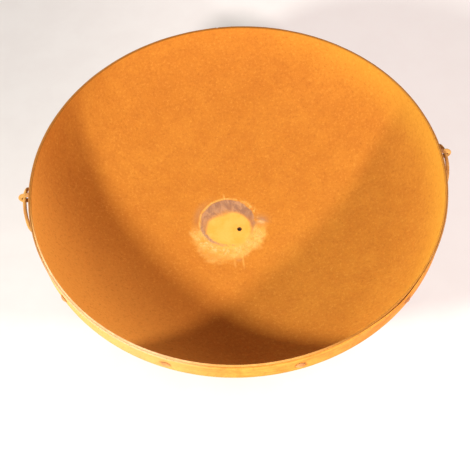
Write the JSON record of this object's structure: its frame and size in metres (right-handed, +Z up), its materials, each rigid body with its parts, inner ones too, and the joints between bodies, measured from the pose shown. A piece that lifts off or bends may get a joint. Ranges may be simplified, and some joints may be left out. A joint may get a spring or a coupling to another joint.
{
  "type": "fire pit",
  "caption": "Round dished steel fire bowl with a studded hoop under its rim, swinging ring handles and a low round-bar stand that it lifts off.",
  "frame": {"origin": "on the floor, on the bowl's axis", "axes": "+Z up; the two ring handles are on +X and -X; -Y is the front, between the two front legs"},
  "size_m": [0.854, 0.8082, 0.46],
  "materials": {
    "bowl_rust": "matte",
    "hoop_rust": "matte",
    "stud_rust": "matte",
    "handle_rust": "matte",
    "weld_rust": "matte",
    "stand_rust": "matte"
  },
  "bodies": {
    "stand": {"stand_top_ring": "stand_rust", "stand_leg_front_right": "stand_rust", "stand_leg_back": "stand_rust", "stand_leg_front_left": "stand_rust", "stand_brace_right": "stand_rust", "stand_brace_left": "stand_rust", "stand_brace_front": "stand_rust", "foot_pad_front_right": "stand_rust", "foot_pad_back": "stand_rust", "foot_pad_front_left": "stand_rust", "stand_top_welds": "weld_rust", "stand_foot_welds": "weld_rust", "stand_brace_welds": "weld_rust"},
    "bowl": {"bowl_shell": "bowl_rust", "rim_hoop": "hoop_rust", "hoop_seam_weld": "weld_rust", "hoop_studs": "stud_rust", "handle_lug_left": "handle_rust", "handle_lug_right": "handle_rust", "lug_welds_left": "weld_rust", "lug_welds_right": "weld_rust"},
    "ring_left": {"ring_handle_left": "handle_rust", "ring_weld_left": "weld_rust"},
    "ring_right": {"ring_handle_right": "handle_rust", "ring_weld_right": "weld_rust"}
  },
  "joints": [
    {"name": "bowl_lift", "type": "slide", "parent": "stand", "child": "bowl", "axis": [0, 0, 1], "range_m": [0, 0.3]},
    {"name": "ring_right_swing", "type": "hinge", "parent": "bowl", "child": "ring_right", "pos_m": [0.415, 0, 0.4415], "axis": [0, -1, 0], "range_deg": [-18, 208]},
    {"name": "ring_left_swing", "type": "hinge", "parent": "bowl", "child": "ring_left", "pos_m": [-0.415, 0, 0.4415], "axis": [0, 1, 0], "range_deg": [-18, 208]}
  ]
}
